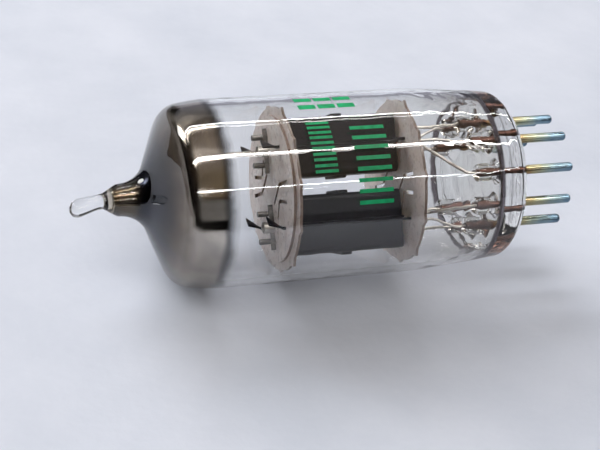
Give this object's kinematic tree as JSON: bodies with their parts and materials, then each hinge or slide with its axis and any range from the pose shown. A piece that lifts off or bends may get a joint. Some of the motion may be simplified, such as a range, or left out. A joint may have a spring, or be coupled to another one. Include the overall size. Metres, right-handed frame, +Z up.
{
  "type": "vacuum tube",
  "caption": "Miniature glass vacuum tube lying on its side: clear bulb with a silvered dome and sealed tip, black plates between mica discs, pins in a ring.",
  "frame": {"origin": "centre of the seating face, the flat outer face of the glass button", "axes": "+X along the tube towards the pins, so the dome and tip are towards -X; +Z up as the tube lies on its side; +Y away from the viewer"},
  "size_m": [0.0556, 0.0204, 0.0204],
  "materials": {
    "clear_glass": "clear blown and moulded glass",
    "getter_mirror": "vapour-deposited mirror, brown and thin at its edge",
    "green_ink": "fired ink",
    "pin_alloy": "nickel alloy, tinted gold and blue by heat",
    "seal_copper": "oxidised copper-red sealing wire",
    "nickel": "bright nickel",
    "carbonised_nickel": "matt black carbon on nickel",
    "mica": "stamped sheet mica, pale pinkish beige",
    "cathode_oxide": "chalky white oxide",
    "heater_coat": "white alumina over tungsten wire"
  },
  "bodies": {
    "root": {"cathode_1": "nickel", "cathode_2": "nickel", "cathode_coating_1": "cathode_oxide", "cathode_coating_2": "cathode_oxide", "cathode_tabs": "nickel", "getter_film": "getter_mirror", "getter_post": "nickel", "getter_ring": "nickel", "glass_button": "clear_glass", "glass_envelope": "clear_glass", "grid_rods_1": "nickel", "grid_rods_2": "nickel", "grid_stops": "nickel", "grid_winding_1": "nickel", "grid_winding_2": "nickel", "heater_1": "heater_coat", "heater_2": "heater_coat", "heater_strap": "nickel", "lead_1": "nickel", "lead_2": "nickel", "lead_3": "nickel", "lead_4": "nickel", "lead_5": "nickel", "lead_6": "nickel", "lead_7": "nickel", "lead_8": "nickel", "lead_9": "nickel", "mica_bottom": "mica", "mica_cover": "mica", "mica_top": "mica", "pin_1": "pin_alloy", "pin_2": "pin_alloy", "pin_3": "pin_alloy", "pin_4": "pin_alloy", "pin_5": "pin_alloy", "pin_6": "pin_alloy", "pin_7": "pin_alloy", "pin_8": "pin_alloy", "pin_9": "pin_alloy", "plate_1_inner": "carbonised_nickel", "plate_1_outer": "carbonised_nickel", "plate_2_inner": "carbonised_nickel", "plate_2_outer": "carbonised_nickel", "printed_mark": "green_ink", "seal_wires": "seal_copper"}
  },
  "joints": []
}
